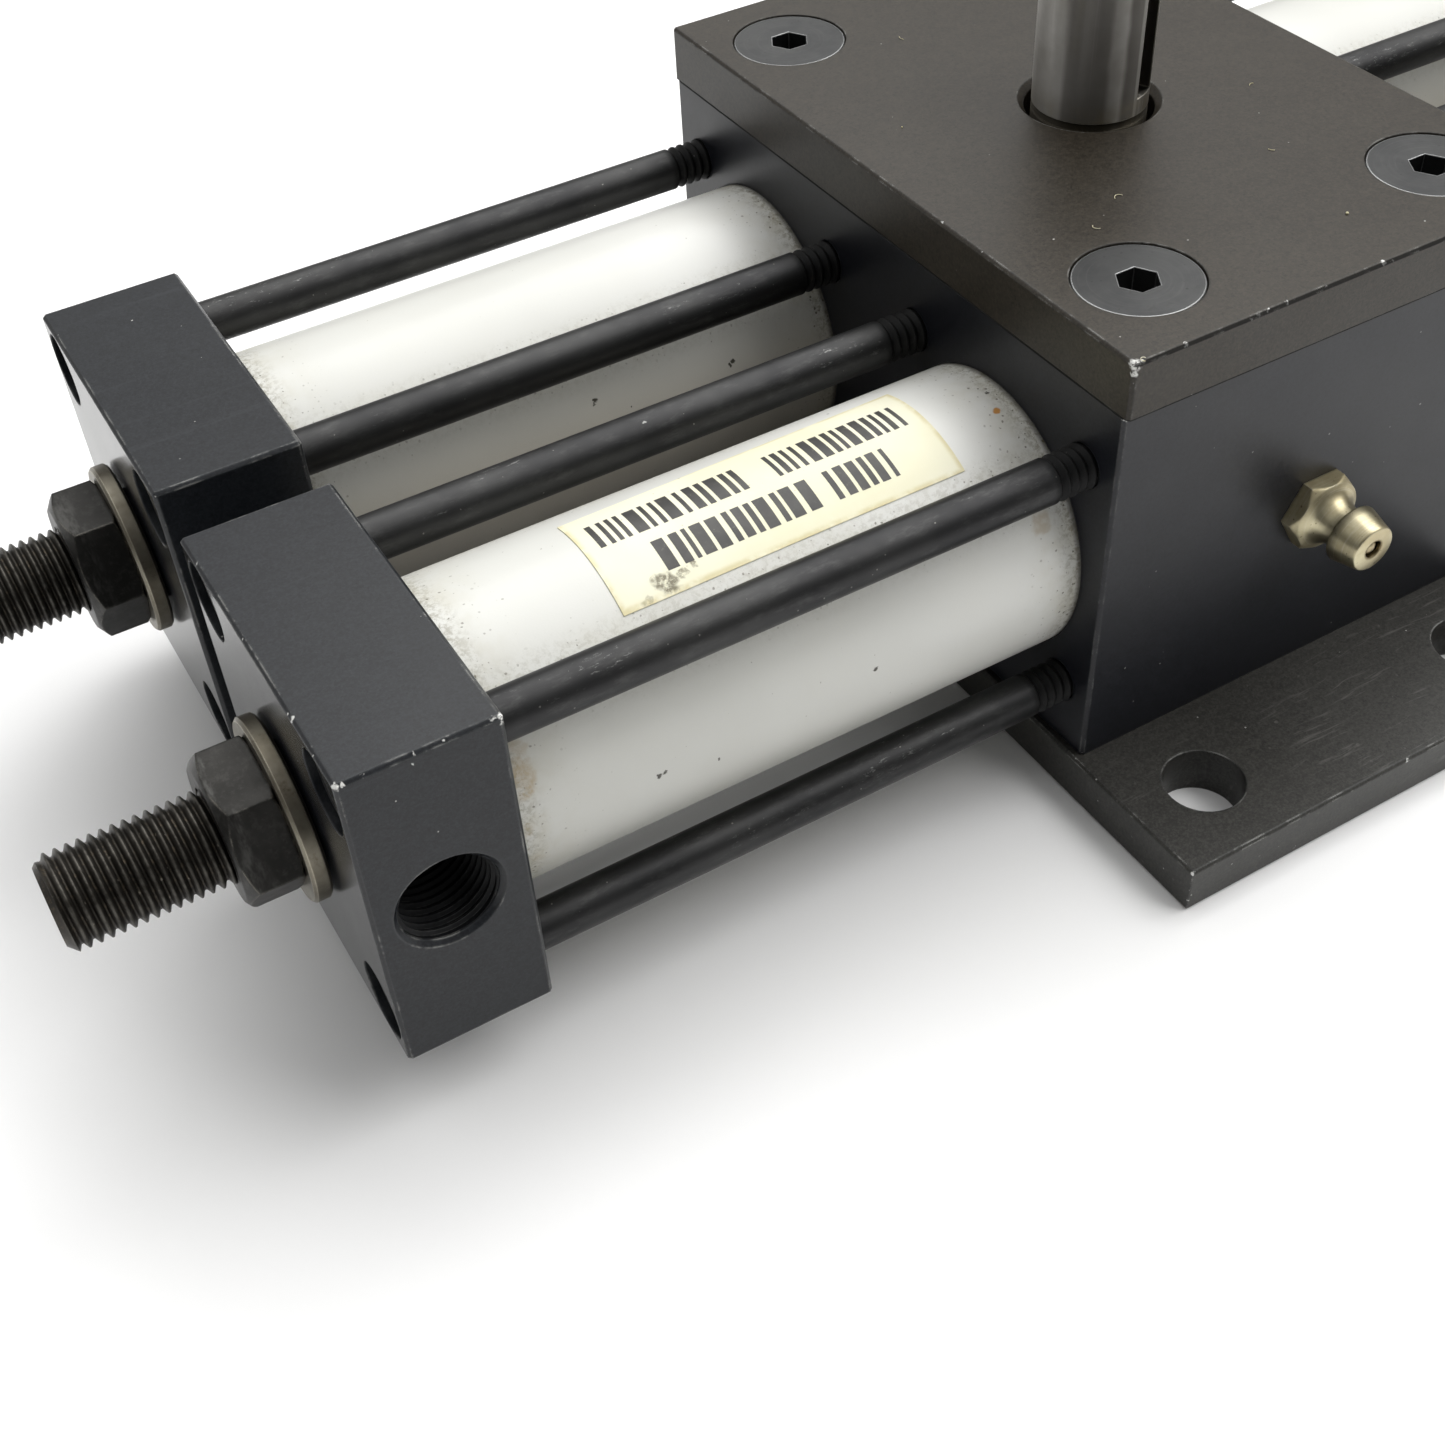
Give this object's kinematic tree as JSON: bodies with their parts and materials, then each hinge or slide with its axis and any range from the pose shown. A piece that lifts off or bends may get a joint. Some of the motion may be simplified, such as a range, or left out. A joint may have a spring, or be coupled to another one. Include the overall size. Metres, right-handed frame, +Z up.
{
  "type": "pneumatic rotary actuator",
  "caption": "Rack-and-pinion rotary actuator: keyed output shaft in a flanged gear housing, driven by opposed tie-bolt air cylinders with stroke adjusters.",
  "frame": {"origin": "on the output shaft axis, at the underside of the mounting flange", "axes": "+Z up the output shaft, +X along the cylinders with the stroke adjusters on the -X side, -Y the side with the grease fitting"},
  "size_m": [0.2403, 0.1234, 0.0889],
  "materials": {
    "housing_anodise": "black anodised, satin",
    "cover_anodise": "brown-black anodised, satin",
    "flange_anodise": "brown-black anodised, satin",
    "screw_steel": "dark satin steel",
    "tube_white": "white gloss composite tube",
    "cap_anodise": "blue-black anodised, milled",
    "black_oxide": "black oxide, oiled",
    "washer_metal": "dull zinc",
    "black_rubber": "nitrile",
    "shaft_steel": "ground steel",
    "bearing_steel": "polished",
    "bronze": "bronze",
    "fitting_plate": "pale yellow plated",
    "piston_alloy": "turned",
    "magnet_strip": "bonded ferrite strip",
    "label_paper": "cream sticker"
  },
  "bodies": {
    "housing": {"adjuster_seal_rings": "black_rubber", "adjuster_washers": "washer_metal", "cover_screws": "screw_steel", "flange_screws": "screw_steel", "front_jam_nut": "black_oxide", "front_left_end_cap": "cap_anodise", "front_left_tie_bolts": "black_oxide", "front_left_tube": "tube_white", "front_right_end_cap": "cap_anodise", "front_right_tie_bolts": "black_oxide", "front_right_tube": "tube_white", "gear_housing": "housing_anodise", "grease_check_spring": "shaft_steel", "grease_fitting": "fitting_plate", "left_tube_gaskets": "black_rubber", "lower_bearing_outer_ring": "bearing_steel", "mounting_flange": "flange_anodise", "rack_bushings": "bronze", "rear_jam_nut": "black_oxide", "rear_left_end_cap": "cap_anodise", "rear_left_tie_bolts": "black_oxide", "rear_left_tube": "tube_white", "rear_right_end_cap": "cap_anodise", "rear_right_tie_bolts": "black_oxide", "rear_right_tube": "tube_white", "right_tube_gaskets": "black_rubber", "shaft_seal": "black_rubber", "top_cover": "cover_anodise", "tube_label": "label_paper", "upper_bearing_outer_ring": "bearing_steel"},
    "pinion": {"pinion_shaft": "shaft_steel", "pinion_gear": "shaft_steel", "pinion_key": "shaft_steel", "pinion_spacers": "shaft_steel", "lower_bearing_inner_ring": "bearing_steel", "upper_bearing_inner_ring": "bearing_steel"},
    "lower_ball_set": {"lower_bearing_balls": "bearing_steel", "lower_bearing_cage": "bronze"},
    "upper_ball_set": {"upper_bearing_balls": "bearing_steel", "upper_bearing_cage": "bronze"},
    "front_rack_set": {"front_rack": "shaft_steel", "front_left_piston": "piston_alloy", "front_right_piston": "piston_alloy", "front_piston_seals": "black_rubber", "front_wear_bands": "black_rubber", "front_piston_magnets": "magnet_strip", "front_piston_screws": "shaft_steel"},
    "front_adjuster": {"front_adjuster_stud": "black_oxide"},
    "rear_rack_set": {"rear_rack": "shaft_steel", "rear_left_piston": "piston_alloy", "rear_right_piston": "piston_alloy", "rear_piston_seals": "black_rubber", "rear_wear_bands": "black_rubber", "rear_piston_magnets": "magnet_strip", "rear_piston_screws": "shaft_steel"},
    "rear_adjuster": {"rear_adjuster_stud": "black_oxide"},
    "grease_check": {"grease_check_ball": "bearing_steel"}
  },
  "joints": [
    {"name": "pinion_spin", "type": "hinge", "parent": "housing", "child": "pinion", "pos_m": [0, 0, 0.0281], "axis": [0, 0, 1], "range_deg": [-90, 90]},
    {"name": "front_rack_slide", "type": "slide", "parent": "housing", "child": "front_rack_set", "axis": [1, 0, 0], "range_m": [-0.025, 0.025]},
    {"name": "rear_rack_slide", "type": "slide", "parent": "housing", "child": "rear_rack_set", "axis": [1, 0, 0], "range_m": [-0.025, 0.025]},
    {"name": "lower_ball_set_spin", "type": "hinge", "parent": "housing", "child": "lower_ball_set", "pos_m": [0, 0, 0.01312], "axis": [0, 0, 1], "range_deg": [-35, 35]},
    {"name": "upper_ball_set_spin", "type": "hinge", "parent": "housing", "child": "upper_ball_set", "pos_m": [0, 0, 0.04312], "axis": [0, 0, 1], "range_deg": [-35, 35]},
    {"name": "front_adjuster_screw", "type": "slide", "parent": "housing", "child": "front_adjuster", "axis": [-1, 0, 0], "range_m": [-0.0014, 0.0014]},
    {"name": "rear_adjuster_screw", "type": "slide", "parent": "housing", "child": "rear_adjuster", "axis": [-1, 0, 0], "range_m": [-0.0014, 0.0014]},
    {"name": "grease_check_lift", "type": "slide", "parent": "housing", "child": "grease_check", "axis": [0, 1, 0], "range_m": [0, 0.0005], "stiffness_N_per_m": 400, "springref_m": -0.0003}
  ],
  "couplings": [
    {"joint": "front_rack_slide", "follows": "pinion_spin", "m_per_rad": 0.015875},
    {"joint": "rear_rack_slide", "follows": "pinion_spin", "m_per_rad": -0.015875},
    {"joint": "lower_ball_set_spin", "follows": "pinion_spin", "ratio": 0.3846},
    {"joint": "upper_ball_set_spin", "follows": "pinion_spin", "ratio": 0.3846}
  ]
}
